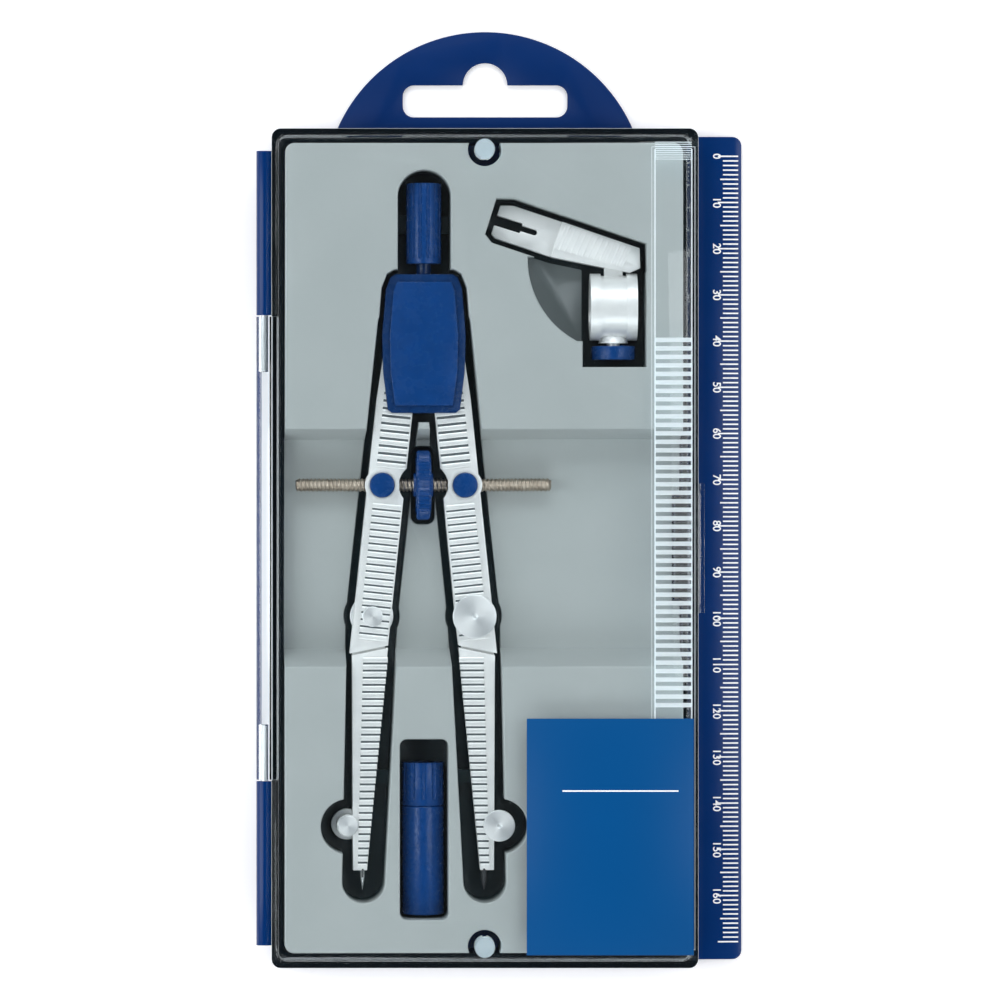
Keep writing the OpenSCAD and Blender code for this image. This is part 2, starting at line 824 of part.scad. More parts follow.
module adapter_shank() {
    slot_start = arm_l + 5;
    color([0.8, 0.81, 0.82]) on_arm() difference() {
        translate([0, 0, -shank_t / 2]) linear_extrude(shank_t) {
            arm_part(arm_l, arm_l + shank_l);
            shank_tenon(0);
        }
        translate([slot_start, -0.6, -shank_t]) cube([shank_l, 1.2, 2 * shank_t]);
        translate([slot_start + 3, -1.1, -shank_t]) cube([shank_l, 2.2, 2 * shank_t]);
        translate([slot_start, 0, -shank_t]) cylinder(r = 0.6, h = 2 * shank_t, $fn = 24);
    }
}

module adapter_arm() {
    lug_gap = face_gap / 2;
    color([0.88, 0.89, 0.9]) difference() {
        on_arm() difference() {
            translate([0, 0, -arm_t / 2]) linear_extrude(arm_t) arm_part(-10, arm_l);
            translate([0, 0, -shank_t / 2]) linear_extrude(shank_t) shank_tenon(0);
        }
        translate([ring_x - lug_r - 1, elbow_y - 10, adapter_z - lug_t / 2 - lug_gap])
            cube([2 * lug_r + 2, 10 + lug_r + 0.3, lug_t + 2 * lug_gap]);
        translate([ring_x, elbow_y, adapter_z - arm_t]) cylinder(r = rivet_r, h = 2 * arm_t);
    }
}

module adapter_rivet() {
    color([0.8, 0.8, 0.8]) translate([ring_x, elbow_y, adapter_z - arm_t / 2])
        cylinder(r = rivet_r, h = arm_t);
}

module pen_ring() {
    half = ring_l / 2;
    color([0.88, 0.89, 0.9]) difference() {
        union() {
            translate([ring_x, ring_y, adapter_z]) rotate([0, 90, 0]) rotate_extrude()
                polygon([[0, -half], [ring_r, -half], [ring_r, -ring_band / 2],
                    [ring_r - ring_sink, -ring_band / 2], [ring_r - ring_sink, ring_band / 2],
                    [ring_r, ring_band / 2], [ring_r, half], [0, half]]);
            translate([ring_x, ring_y - ring_r + 2, adapter_z]) rotate([90, 0, 0])
                cylinder(r1 = cone_r - 1, r2 = cone_r, h = cone_l - 1);
            slab(adapter_z - lug_t / 2, adapter_z + lug_t / 2)
                bar([ring_x, ring_y + ring_r - 1], [ring_x, elbow_y], lug_r, lug_r);
        }
        translate([ring_x - ring_l, ring_y, adapter_z]) rotate([0, 90, 0])
            cylinder(r = pen_r, h = 2 * ring_l);
        rod_y(ring_x, ring_y - ring_r - 3, adapter_z, adapter_screw_r + run_gap, 6);
        translate([ring_x, elbow_y, adapter_z - arm_t]) cylinder(r = rivet_r, h = 2 * arm_t);
    }
}

module adapter_screw() {
    color([0.8, 0.8, 0.82])
        rod_y(ring_x, knob_y - knob_l + 1, adapter_z, adapter_screw_r, knob_l + 1.4 + cone_l - 2);
}

module adapter_knob() {
    color([0.04, 0.22, 0.5]) difference() {
        rod_y(ring_x, knob_y - knob_l, adapter_z, knob_r, knob_l);
        rod_y(ring_x, knob_y - knob_l + 1, adapter_z, adapter_screw_r, knob_l);
    }
}

// ---------- lead tube ----------

module lead_tube() {
    body_l = tube_l - tube_cap_l;
    color([0.04, 0.17, 0.5]) difference() {
        union() {
            rod_y(compass_x, tube_y, tube_z, tube_r, body_l);
            rod_y(compass_x, tube_y, tube_z, tube_r - cap_wall - run_gap, body_l + cap_neck);
        }
        rod_y(compass_x, tube_y + tube_wall, tube_z, tube_r - cap_wall - run_gap - tube_wall,
            tube_l);
    }
}

module tube_cap() {
    flutes = 12;
    y0 = tube_y + tube_l - tube_cap_l + face_gap;
    l = tube_cap_l - face_gap;
    color([0.05, 0.2, 0.56]) difference() {
        rod_y(compass_x, y0, tube_z, tube_r, l);
        rod_y(compass_x, y0 - 1, tube_z, tube_r - cap_wall, l - 1);
        for (i = [0 : flutes - 1]) translate([compass_x, y0 + 1.4, tube_z])
            rotate([-90, 0, 0]) rotate(i * 360 / flutes)
                translate([tube_r + 0.15, 0, 0]) cylinder(r = 0.45, h = l, $fn = 16);
    }
}

module spare_leads() {
    lead_l = tube_l - tube_cap_l - 1;
    color([0.2, 0.2, 0.22]) for (i = [0 : 2])
        translate([compass_x, 0, tube_z]) rotate([0, i * 120, 0])
            rod_y(0, tube_y + tube_wall, 1.3, lead_r, lead_l);
}

base_shell();
hang_tab();
hinge_pins();
insert_tray();
lid_shell();
lid_posts();
price_label();
handle();
handle_stem();
head_front();
head_rear();
head_panel();
head_screws();
leg_pivot_pins();
left_upper_leg();
right_upper_leg();
left_lower_leg();
right_lower_leg();
left_knee_screw();
right_knee_screw();
needle_clamp_screw();
lead_clamp_screw();
needle();
lead();
spindle();
centre_wheel();
left_trunnion();
right_trunnion();
left_trunnion_cap();
right_trunnion_cap();
adapter_shank();
adapter_arm();
pen_ring();
adapter_rivet();
adapter_screw();
adapter_knob();
lead_tube();
tube_cap();
spare_leads();
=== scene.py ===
import bpy
import bmesh
import json
import math
from mathutils import Matrix, Vector


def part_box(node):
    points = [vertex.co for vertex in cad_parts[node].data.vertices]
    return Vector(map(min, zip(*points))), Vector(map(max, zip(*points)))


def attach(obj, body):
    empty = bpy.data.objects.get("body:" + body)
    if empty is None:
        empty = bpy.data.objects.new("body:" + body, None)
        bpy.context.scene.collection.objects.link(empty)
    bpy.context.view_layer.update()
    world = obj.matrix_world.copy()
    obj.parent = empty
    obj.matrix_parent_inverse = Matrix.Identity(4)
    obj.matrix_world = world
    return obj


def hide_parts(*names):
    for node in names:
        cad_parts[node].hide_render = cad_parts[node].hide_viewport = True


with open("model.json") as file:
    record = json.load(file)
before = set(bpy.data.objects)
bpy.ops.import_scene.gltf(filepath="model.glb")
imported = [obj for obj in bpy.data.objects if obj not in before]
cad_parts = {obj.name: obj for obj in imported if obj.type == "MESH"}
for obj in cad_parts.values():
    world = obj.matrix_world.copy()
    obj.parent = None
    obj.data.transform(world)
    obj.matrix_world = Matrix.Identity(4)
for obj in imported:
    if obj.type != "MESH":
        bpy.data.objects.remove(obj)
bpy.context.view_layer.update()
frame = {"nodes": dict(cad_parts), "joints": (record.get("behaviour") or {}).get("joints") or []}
mm = 0.001
jointPlace = {j["name"]: Vector(j["pos_m"]) for j in frame["joints"] if "pos_m" in j}


def linearColour(code):
    # sRGB hex to the linear values that shaders use
    channels = [int(code[i:i + 2], 16) / 255 for i in (1, 3, 5)]
    linear = [c / 12.92 if c <= 0.04045 else ((c + 0.055) / 1.055) ** 2.4 for c in channels]
    return (*linear, 1.0)


def addNode(tree, kind, settings=None, links=None):
    # a setting is a property of the node or, failing that, one of its sockets
    node = tree.nodes.new(kind)
    for key, value in (settings or {}).items():
        if isinstance(key, str) and hasattr(node, key):
            setattr(node, key, value)
        else:
            node.inputs[key].default_value = value
    for key, source in (links or {}).items():
        tree.links.new(source, node.inputs[key])
    return node


def newMaterial(name, baseColour, **shaderValues):
    material = bpy.data.materials.new(name)
    material.use_nodes = True
    tree = material.node_tree
    shader = tree.nodes["Principled BSDF"]
    shader.inputs["Base Color"].default_value = linearColour(baseColour)
    for socket, value in shaderValues.items():
        shader.inputs[socket.replace("_", " ")].default_value = value
    return material, tree, shader


def grainBump(tree, shader, grainMm, strength, detail=3.0, depth=0.00005):
    # a fine noise in the surface, one grain being grainMm wide
    place = addNode(tree, "ShaderNodeTexCoord")
    noise = addNode(tree, "ShaderNodeTexNoise", {"Scale": 1 / (grainMm * mm), "Detail": detail},
                    {"Vector": place.outputs["Object"]})
    bump = addNode(tree, "ShaderNodeBump", {"Strength": strength, "Distance": depth},
                   {"Height": noise.outputs["Fac"]})
    tree.links.new(bump.outputs["Normal"], shader.inputs["Normal"])
    return noise, bump


def mottledColour(tree, shader, darker, lighter, patchMm):
    # slow drift between two shades of the same stuff
    place = addNode(tree, "ShaderNodeTexCoord")
    noise = addNode(tree, "ShaderNodeTexNoise", {"Scale": 1 / (patchMm * mm), "Detail": 2.0},
                    {"Vector": place.outputs["Object"]})
    mix = addNode(tree, "ShaderNodeMix", {"data_type": "RGBA"}, {0: noise.outputs["Fac"]})
    mix.inputs[6].default_value = linearColour(darker)
    mix.inputs[7].default_value = linearColour(lighter)
    tree.links.new(mix.outputs[2], shader.inputs["Base Color"])
    return mix


def varyRoughness(tree, shader, low, high, patchMm):
    place = addNode(tree, "ShaderNodeTexCoord")
    noise = addNode(tree, "ShaderNodeTexNoise", {"Scale": 1 / (patchMm * mm), "Detail": 4.0},
                    {"Vector": place.outputs["Object"]})
    spread = addNode(tree, "ShaderNodeMapRange", {"To Min": low, "To Max": high},
                     {"Value": noise.outputs["Fac"]})
    tree.links.new(spread.outputs["Result"], shader.inputs["Roughness"])


def glossyPolystyrene(name, darker, lighter):
    # moulded polystyrene: hard, even gloss with a very faint flow mottling
    material, tree, shader = newMaterial(name, lighter, IOR=1.55, Specular_IOR_Level=0.22)
    shade = mottledColour(tree, shader, darker, lighter, 18)
    # painted shade: the base mesh's mask turns the blue near-black in the slot round the tray and on
    # the ledge
    slot = addNode(tree, "ShaderNodeAttribute", {"attribute_name": "paintedShadeInSlot"})
    slotShadeMix = addNode(tree, "ShaderNodeMix", {"data_type": "RGBA"},
                   {0: slot.outputs["Fac"], 6: shade.outputs[2]})
    slotShadeMix.inputs[7].default_value = linearColour("#020B12")
    tree.links.new(slotShadeMix.outputs[2], shader.inputs["Base Color"])
    varyRoughness(tree, shader, 0.14, 0.24, 6)
    grainBump(tree, shader, 0.9, 0.05)
    return material


def satinAbs(name, darker, lighter):
    # injection-moulded ABS from a spark-eroded tool: soft sheen, fine grain
    material, tree, shader = newMaterial(name, lighter, IOR=1.53, Specular_IOR_Level=0.3)
    mottledColour(tree, shader, darker, lighter, 5)
    varyRoughness(tree, shader, 0.2, 0.34, 2)
    grainBump(tree, shader, 0.28, 0.1, depth=0.00003)
    return material


def sheetTab():
    # cut polypropylene sheet: matt, with calender streaks along it
    material, tree, shader = newMaterial("cutPolypropyleneSheet", "#002A62", IOR=1.49,
                                         Specular_IOR_Level=0.2)
    mottledColour(tree, shader, "#00285F", "#002D69", 25)
    varyRoughness(tree, shader, 0.3, 0.42, 4)
    grainBump(tree, shader, 0.35, 0.06)
    return material


def formedGrey():
    # vacuum-formed grey sheet with a fine satin grain; painted shade darkens the deep troughs, the
    # rests in them and the arc floor
    material, tree, shader = newMaterial("vacuumFormedGreySheet", "#A9B1B2", IOR=1.5,
                                         Specular_IOR_Level=0.6)
    fieldShade = mottledColour(tree, shader, "#A6ACAB", "#B0B5B4", 14)
    depth = addNode(tree, "ShaderNodeAttribute", {"attribute_name": "paintedTroughShade"})
    share = addNode(tree, "ShaderNodeMapRange", {"interpolation_type": "SMOOTHSTEP",
                                                 "From Min": 0.02, "From Max": 0.85},
                    {"Value": depth.outputs["Fac"]})
    # painted shade: the mask mixes the field colour towards a near-black teal
    dark = addNode(tree, "ShaderNodeMix", {"data_type": "RGBA"},
                   {0: share.outputs["Result"], 6: fieldShade.outputs[2]})
    dark.inputs[7].default_value = linearColour("#1B3036")
    tree.links.new(dark.outputs[2], shader.inputs["Base Color"])
    varyRoughness(tree, shader, 0.26, 0.38, 3)
    grainBump(tree, shader, 0.32, 0.3, depth=0.00003)
    return material


def clearPolystyrene():
    # crystal polystyrene: water clear with a cool tint at its edges; a lamp passes through
    material, tree, shader = newMaterial("crystalPolystyrene", "#F4F9FB", IOR=1.5, Roughness=0.02)
    shader.inputs["Transmission Weight"].default_value = 1.0
    grainBump(tree, shader, 7, 0.03, detail=1.0)
    seeThrough = addNode(tree, "ShaderNodeBsdfTransparent", {"Color": (0.95, 0.97, 0.98, 1)})
    rays = addNode(tree, "ShaderNodeLightPath")
    either = addNode(tree, "ShaderNodeMath", {"operation": "MAXIMUM"},
                     {0: rays.outputs["Is Shadow Ray"], 1: rays.outputs["Is Diffuse Ray"]})
    mix = addNode(tree, "ShaderNodeMixShader", {},
                  {0: either.outputs[0], 1: shader.outputs[0], 2: seeThrough.outputs[0]})
    tree.links.new(mix.outputs[0], tree.nodes["Material Output"].inputs["Surface"])
    return material


def mattPolystyrene(name, share):
    # crystal polystyrene with a ground or etched face: it scatters light and looks frosty; on the
    # lid's rim and grip ribs this pale frost is a painted highlight
    material, tree, shader = newMaterial(name, "#EAF2F6", IOR=1.5, Roughness=0.5)
    shader.inputs["Transmission Weight"].default_value = share
    mottledColour(tree, shader, "#E2ECF1", "#F2F8FA", 1)
    grainBump(tree, shader, 0.15, 0.3, depth=0.00002)
    seeThrough = addNode(tree, "ShaderNodeBsdfTransparent", {"Color": (0.9, 0.93, 0.95, 1)})
    rays = addNode(tree, "ShaderNodeLightPath")
    mix = addNode(tree, "ShaderNodeMixShader", {},
                  {0: rays.outputs["Is Shadow Ray"], 1: shader.outputs[0],
                   2: seeThrough.outputs[0]})
    tree.links.new(mix.outputs[0], tree.nodes["Material Output"].inputs["Surface"])
    return material


def satinNickel():
    # die-cast zinc, barrel polished and nickel plated: bright, with a soft orange-peel
    material, tree, shader = newMaterial("satinNickelOnZinc", "#F0F0EE", Metallic=0.6)
    mottledColour(tree, shader, "#E6E7E7", "#FAFAF8", 3)
    varyRoughness(tree, shader, 0.36, 0.5, 1.2)
    grainBump(tree, shader, 0.5, 0.25, depth=0.00004)
    return material


def castGrooves():
    # painted shade for the grooves between the rib bars: a dark, rough zinc plate; the tumbling
    # media never reach the grooves either, so the zinc stays unpolished there
    material, tree, shader = newMaterial("unpolishedZincGrooveShade", "#5E6467", Metallic=0.4)
    mottledColour(tree, shader, "#4C5255", "#6C7376", 0.8)
    varyRoughness(tree, shader, 0.5, 0.7, 0.5)
    grainBump(tree, shader, 0.2, 0.3, depth=0.00003)
    return material


def turnedSteel(name, centre, ringMm=0.25):
    # faced on a lathe: fine rings round the middle, coarser than real so that they show
    material, tree, shader = newMaterial(name, "#E8EAEB", Metallic=0.85)
    place = addNode(tree, "ShaderNodeTexCoord")
    centred = addNode(tree, "ShaderNodeMapping", {}, {"Vector": place.outputs["Object"]})
    centred.inputs["Location"].default_value = -Vector(centre)
    rings = addNode(tree, "ShaderNodeTexWave",
                    {"wave_type": "RINGS", "rings_direction": "Z", "Scale": 0.05 / (ringMm * mm),
                     "Distortion": 0.4, "Detail": 2.0}, {"Vector": centred.outputs[0]})
    bump = addNode(tree, "ShaderNodeBump", {"Strength": 0.25, "Distance": 0.00003},
                   {"Height": rings.outputs["Fac"]})
    tree.links.new(bump.outputs["Normal"], shader.inputs["Normal"])
    # painted reflection: two bright and two dim sectors round the middle, in colour and roughness,
    # stand in for the sheen that turned metal shows
    spokes = addNode(tree, "ShaderNodeTexGradient", {"gradient_type": "RADIAL"},
                     {"Vector": centred.outputs[0]})
    paintedSheenSectors = addNode(tree, "ShaderNodeMath", {"operation": "SINE"},
                    {0: addNode(tree, "ShaderNodeMath", {"operation": "MULTIPLY", 1: 4 * math.pi},
                                {0: spokes.outputs["Fac"]}).outputs[0]})
    shade = addNode(tree, "ShaderNodeMapRange", {"From Min": -1.0, "To Min": 0.38, "To Max": 0.46},
                    {"Value": paintedSheenSectors.outputs[0]})
    tree.links.new(shade.outputs["Result"], shader.inputs["Roughness"])
    tint = addNode(tree, "ShaderNodeMix", {"data_type": "RGBA"},
                   {0: addNode(tree, "ShaderNodeMapRange", {"From Min": -1.0},
                               {"Value": paintedSheenSectors.outputs[0]}).outputs["Result"]})
    tint.inputs[6].default_value = linearColour("#DADDDF")
    tint.inputs[7].default_value = linearColour("#F4F5F5")
    tree.links.new(tint.outputs[2], shader.inputs["Base Color"])
    return material


def rolledSteel():
    # thread rolled in free-cutting steel, thin nickel flash with a warm cast
    material, tree, shader = newMaterial("rolledThreadSteel", "#A89A8A", Metallic=1.0,
                                         Roughness=0.3)
    mottledColour(tree, shader, "#8E7F70", "#C6B9AA", 1.5)
    varyRoughness(tree, shader, 0.22, 0.4, 0.8)
    grainBump(tree, shader, 0.2, 0.2, depth=0.00002)
    return material


def hardenedSteel():
    # ground needle steel: bright and smooth with scratches along the grinding
    material, tree, shader = newMaterial("groundNeedleSteel", "#C9CBCC", Metallic=1.0,
                                         Roughness=0.2)
    mottledColour(tree, shader, "#B9BCBE", "#DADCDD", 1.0)
    grainBump(tree, shader, 0.12, 0.2, depth=0.00001)
    return material


def graphite():
    # fired graphite and clay: dark grey with a soft metallic sheen
    material, tree, shader = newMaterial("firedGraphite", "#4A4B4E", Metallic=0.35, Roughness=0.42)
    mottledColour(tree, shader, "#3C3D40", "#5A5C60", 0.6)
    grainBump(tree, shader, 0.08, 0.25, depth=0.00001)
    return material


def printedFilm():
    # printed self-adhesive film under a gloss varnish
    material, tree, shader = newMaterial("varnishedPrintedFilm", "#01518E", IOR=1.5, Roughness=0.3,
                                         Specular_IOR_Level=0.2)
    mottledColour(tree, shader, "#004780", "#004C88", 30)
    grainBump(tree, shader, 0.6, 0.06)
    return material


def screenInk(name, code):
    # screen-printed ink: opaque, a little rough where the mesh left its mark
    material, tree, shader = newMaterial(name, code, IOR=1.48, Roughness=0.5)
    mottledColour(tree, shader, code, "#FFFFFF", 0.8)
    grainBump(tree, shader, 0.1, 0.2, depth=0.00001)
    return material


blueCase = glossyPolystyrene("mouldedBluePolystyrene", "#002A62", "#01306C")
blueAbs = satinAbs("mouldedBlueAbs", "#003670", "#013F80")
deepBlueAbs = satinAbs("mouldedBlueAbsDeep", "#002A58", "#01346A")
tabSheet = sheetTab()
greySheet = formedGrey()
clearLid = clearPolystyrene()
# painted highlight: pale frost on the lid's seat and the rounded edges of its roof
rimPaintedHighlight = mattPolystyrene("groundSeatPaintedHighlight", 0.25)
# painted highlight: the clear grip ribs get a pale frost that stands in for the light they catch
ribsPaintedHighlight = mattPolystyrene("frostedRibPaintedHighlight", 0.72)
mattPosts = mattPolystyrene("etchedPolystyrenePosts", 0.88)
nickel = satinNickel()
paintedGrooveShade = castGrooves()
threadSteel = rolledSteel()
needleSteel = hardenedSteel()
leadGraphite = graphite()
labelFilm = printedFilm()
whiteInk = screenInk("whiteScreenInk", "#F2F4F8")
plainSteel = turnedSteel("turnedSteelPlain", (0, 0, 0))
print("materials made")


def finishMesh(mesh, material, sharpAngle=35):
    mesh.materials.clear()
    mesh.materials.append(material)
    mesh.shade_smooth()
    mesh.set_sharp_from_angle(angle=math.radians(sharpAngle))


def addPiece(name, mesh, body, material, replaced=(), sharpAngle=35):
    finishMesh(mesh, material, sharpAngle)
    piece = bpy.data.objects.new(name, mesh)
    bpy.context.scene.collection.objects.link(piece)
    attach(piece, body)
    if replaced:
        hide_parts(*replaced)
    return piece


def evaluatedMesh(piece):
    depsgraph = bpy.context.evaluated_depsgraph_get()
    return bpy.data.meshes.new_from_object(piece.evaluated_get(depsgraph), depsgraph=depsgraph)


def cadMesh(nodeName):
    # the CAD solid with its loose triangles merged into whole faces
    mesh = bpy.data.meshes.new(nodeName + "Mesh")
    bm = bmesh.new()
    bm.from_mesh(frame["nodes"][nodeName].data)
    bmesh.ops.remove_doubles(bm, verts=bm.verts, dist=0.000005)
    bmesh.ops.dissolve_limit(bm, angle_limit=math.radians(0.6), verts=bm.verts, edges=bm.edges,
                             delimit={"NORMAL"})
    bm.to_mesh(mesh)
    bm.free()
    for layer in ("custom_normal", "sharp_edge", "sharp_face"):
        if layer in mesh.attributes:
            mesh.attributes.remove(mesh.attributes[layer])
    return mesh


def bevelledMesh(nodeName, radius, segments=3, angle=34):
    draft = bpy.data.objects.new("draft", cadMesh(nodeName))
    bpy.context.scene.collection.objects.link(draft)
    bevel = draft.modifiers.new("edges", "BEVEL")
    bevel.width = radius * mm
    bevel.segments = segments
    bevel.limit_method = "ANGLE"
    bevel.angle_limit = math.radians(angle)
    bevel.use_clamp_overlap = True
    mesh = evaluatedMesh(draft)
    bpy.data.objects.remove(draft)
    return mesh


def finishNode(nodeName, body, material, radius=0.25, segments=3):
    mesh = bevelledMesh(nodeName, radius, segments)
    return addPiece(nodeName + "Finished", mesh, body, material, (nodeName,))


def newTree(name, inputs):
    tree = bpy.data.node_groups.new(name, "GeometryNodeTree")
    for inputName, kind, value in inputs:
        socket = tree.interface.new_socket(inputName, in_out="INPUT", socket_type=kind)
        socket.default_value = value
    tree.interface.new_socket("Geometry", in_out="OUTPUT", socket_type="NodeSocketGeometry")
    return tree, addNode(tree, "NodeGroupInput").outputs


def closeTree(tree, geometry, material):
    whole = addNode(tree, "GeometryNodeRealizeInstances", {}, {"Geometry": geometry})
    painted = addNode(tree, "GeometryNodeSetMaterial", {"Material": material},
                      {"Geometry": whole.outputs[0]})
    addNode(tree, "NodeGroupOutput", {}, {"Geometry": painted.outputs[0]})


def growMesh(tree, values):
    # runs a tree with its inputs set by name and hands back the plain mesh
    draft = bpy.data.objects.new("draft", bpy.data.meshes.new("draft"))
    bpy.context.scene.collection.objects.link(draft)
    grow = draft.modifiers.new("grow", "NODES")
    grow.node_group = tree
    for item in tree.interface.items_tree:
        if item.in_out == "INPUT" and item.name in values:
            grow[item.identifier] = values[item.name]
    mesh = evaluatedMesh(draft)
    bpy.data.objects.remove(draft)
    return mesh


def barRowTree(material):
    # a row of round-edged bars whose length changes evenly from the first to the last
    tree, given = newTree("barRow", [
        ("Count", "NodeSocketInt", 10), ("Start", "NodeSocketVector", (0, 0, 0)),
        ("Step", "NodeSocketVector", (0, 0.001, 0)), ("First Length", "NodeSocketFloat", 0.005),
        ("Last Length", "NodeSocketFloat", 0.005), ("Bar Width", "NodeSocketFloat", 0.001),
        ("Bar Height", "NodeSocketFloat", 0.001), ("Turn", "NodeSocketFloat", 0.0)])
    line = addNode(tree, "GeometryNodeMeshLine", {"mode": "OFFSET"},
                   {"Count": given["Count"], "Start Location": given["Start"],
                    "Offset": given["Step"]})
    outline = addNode(tree, "GeometryNodeCurvePrimitiveQuadrilateral", {"Width": 1.0, "Height": 1.0})
    rounded = addNode(tree, "GeometryNodeFilletCurve", {"mode": "POLY", "Radius": 0.3, "Count": 3},
                      {0: outline.outputs[0]})
    spine = addNode(tree, "GeometryNodeCurvePrimitiveLine",
                    {"Start": (-0.5, 0, 0), "End": (0.5, 0, 0)})
    lying = addNode(tree, "GeometryNodeCurveToMesh", {"Fill Caps": True},
                    {"Curve": spine.outputs[0], "Profile Curve": rounded.outputs[0]})
    last = addNode(tree, "ShaderNodeMath", {"operation": "SUBTRACT", 1: 1.0},
                   {0: given["Count"]})
    length = addNode(tree, "ShaderNodeMapRange", {},
                     {"Value": addNode(tree, "GeometryNodeInputIndex").outputs[0],
                      "From Max": last.outputs[0], "To Min": given["First Length"],
                      "To Max": given["Last Length"]})
    size = addNode(tree, "ShaderNodeCombineXYZ", {},
                   {0: length.outputs[0], 1: given["Bar Width"], 2: given["Bar Height"]})
    turn = addNode(tree, "ShaderNodeCombineXYZ", {}, {2: given["Turn"]})
    bars = addNode(tree, "GeometryNodeInstanceOnPoints", {},
                   {"Points": line.outputs[0], "Instance": lying.outputs[0],
                    "Rotation": turn.outputs[0], "Scale": size.outputs[0]})
    closeTree(tree, bars.outputs[0], material)
    return tree


def barRow(material, **values):
    named = {key.replace("_", " "): value for key, value in values.items()}
    return growMesh(barRowTree(material), named)


def joinMeshes(meshes):
    bm = bmesh.new()
    for mesh in meshes:
        bm.from_mesh(mesh)
    joined = bpy.data.meshes.new("joined")
    bm.to_mesh(joined)
    bm.free()
    return joined


tray = {"draft": 0.1, "rimRadius": 0.4, "footRadius": 0.3, "rimAngle": 40, "fields": (16.4, 7.4),
        "arcFloor": 8.0, "arcShade": 0.55, "restTop": 7.6, "deepBelow": 7.2, "tightCorner": 0.3}


def isLevel(z, heights, slack=0.06):
    return any(abs(z - h * mm) < slack * mm for h in heights)


def draftFloors(bm, distance):
    # every pocket floor is drawn in a little from its walls, as formed sheet has to be,
    # and no further than the legs allow when they swing
    shifts = {}
    for v in bm.verts:
        walls = [f.normal for f in v.link_faces
                 if abs(f.normal.z) < 0.05 and max(w.co.z for w in f.verts) > v.co.z + 0.5 * mm]
        floors = [f for f in v.link_faces if f.normal.z > 0.99]
        if not walls or not floors or isLevel(v.co.z, tray["fields"]):
            continue
        distinct = []
        for normal in walls:
            if all(normal.dot(other) < 0.999 for other in distinct):
                distinct.append(normal)
        if len(distinct) > 2:
            continue
        total = sum(distinct, Vector())
        opening = 1 + distinct[0].dot(distinct[-1]) if len(distinct) == 2 else 1
        if opening > tray["tightCorner"]:
            shifts[v] = total / opening * distance
    for v, shift in shifts.items():
        v.co += Vector((shift.x, shift.y, 0))
    return shifts


def troughAttribute(mesh):
    # mask for the painted pocket shade: 1 at the foot of a pocket, part on the arc floor, 0 on the
    # fields
    values = []
    for v in mesh.vertices:
        z = v.co.z / mm
        deep = z < tray["deepBelow"] or abs(z - tray["restTop"]) < 0.1
        onArc = abs(z - tray["arcFloor"]) < 0.25
        values.append(1.0 if deep else tray["arcShade"] if onArc else 0.0)
    mesh.attributes.new("paintedTroughShade", "FLOAT", "POINT").data.foreach_set("value", values)


def makeTray():
    bm = bmesh.new()
    bm.from_mesh(cadMesh("insert_tray"))
    bm.normal_update()
    shifts = draftFloors(bm, tray["draft"] * mm)
    bm.normal_update()
    feet = [e for e in bm.edges if e.verts[0] in shifts and e.verts[1] in shifts
            and any(f.normal.z > 0.9 for f in e.link_faces)
            and any(f.normal.z < 0.5 for f in e.link_faces)]
    rims = [e for e in bm.edges if e.is_manifold
            and abs(e.verts[0].co.z - e.verts[1].co.z) < 0.01 * mm
            and isLevel(e.verts[0].co.z, tray["fields"])
            and e.calc_face_angle_signed(0) > math.radians(tray["rimAngle"])]
    bmesh.ops.bevel(bm, geom=rims, offset=tray["rimRadius"] * mm, segments=4, profile=0.5,
                    affect="EDGES", clamp_overlap=False)
    feet = [e for e in feet if e.is_valid]
    bmesh.ops.bevel(bm, geom=feet, offset=tray["footRadius"] * mm, segments=3, profile=0.5,
                    affect="EDGES", clamp_overlap=True)
    mesh = bpy.data.meshes.new("formedTray")
    bm.to_mesh(mesh)
    bm.free()
    troughAttribute(mesh)
    addPiece("formedTray", mesh, "case", greySheet, ("insert_tray",), 60)


lidRim = {"edge": 0.35, "mattBelow": 0.06, "seat": 10, "roofFrom": 9.4}


def makeLid():
    # painted highlight: the seat, a ground face, and the rounded edges of the roof get a pale matt
    # finish, which shows as light lines on the clear wall
    mesh = bevelledMesh("lid_shell", lidRim["edge"], 3)
    addPiece("lidShellFinished", mesh, "lid", clearLid, ("lid_shell",))
    mesh.materials.append(rimPaintedHighlight)
    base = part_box("base_shell")[0].z + lidRim["seat"] * mm
    for face in mesh.polygons:
        seated = face.normal.z < -0.9 and abs(face.center.z - base) < lidRim["mattBelow"] * mm
        rounded = 0.15 < face.normal.z < 0.97 and face.center.z > base + lidRim["roofFrom"] * mm
        if seated or rounded:
            face.material_index = 1


recess = {"tongue": 1.4, "inset": 1.65, "above": 2.7, "ledge": 9.85, "edge": 0.3}


def makeBase():
    # painted shade: the slot round the tray and the ledge below the lid's wall are painted
    # near-black
    mesh = bevelledMesh("base_shell", recess["edge"], 3)
    low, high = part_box("lid_shell")
    right = high.x - recess["tongue"] * mm      # the lid without its snap tongue
    values = []
    for v in mesh.vertices:
        inset = min(v.co.x + right, right - v.co.x, high.y - v.co.y, v.co.y - low.y)
        inside = inset > recess["inset"] * mm and v.co.z > recess["above"] * mm
        under = inset > 0 and v.co.z > recess["ledge"] * mm
        values.append(1.0 if inside or under else 0.0)
    mesh.attributes.new("paintedShadeInSlot", "FLOAT", "POINT").data.foreach_set("value", values)
    addPiece("baseShellFinished", mesh, "case", blueCase, ("base_shell",))


def makeCase():
    makeBase()
    makeLid()
    finishNode("hang_tab", "case", tabSheet, 0.12, 2)
    finishNode("hinge_pins", "case", plainSteel, 0.1)
    finishNode("lid_posts", "lid", mattPosts, 0.2)
    finishNode("price_label", "lid", labelFilm, 0.05, 2)


gripRibs = {"pitch": 1.83, "width": 0.95, "height": 0.5, "length": 7.9, "fromTop": 45.6,
            "middle": 40.6, "lineWidth": 0.3, "lineLength": 172, "endRows": 9, "endFrom": 3,
            "sunk": 0.08}


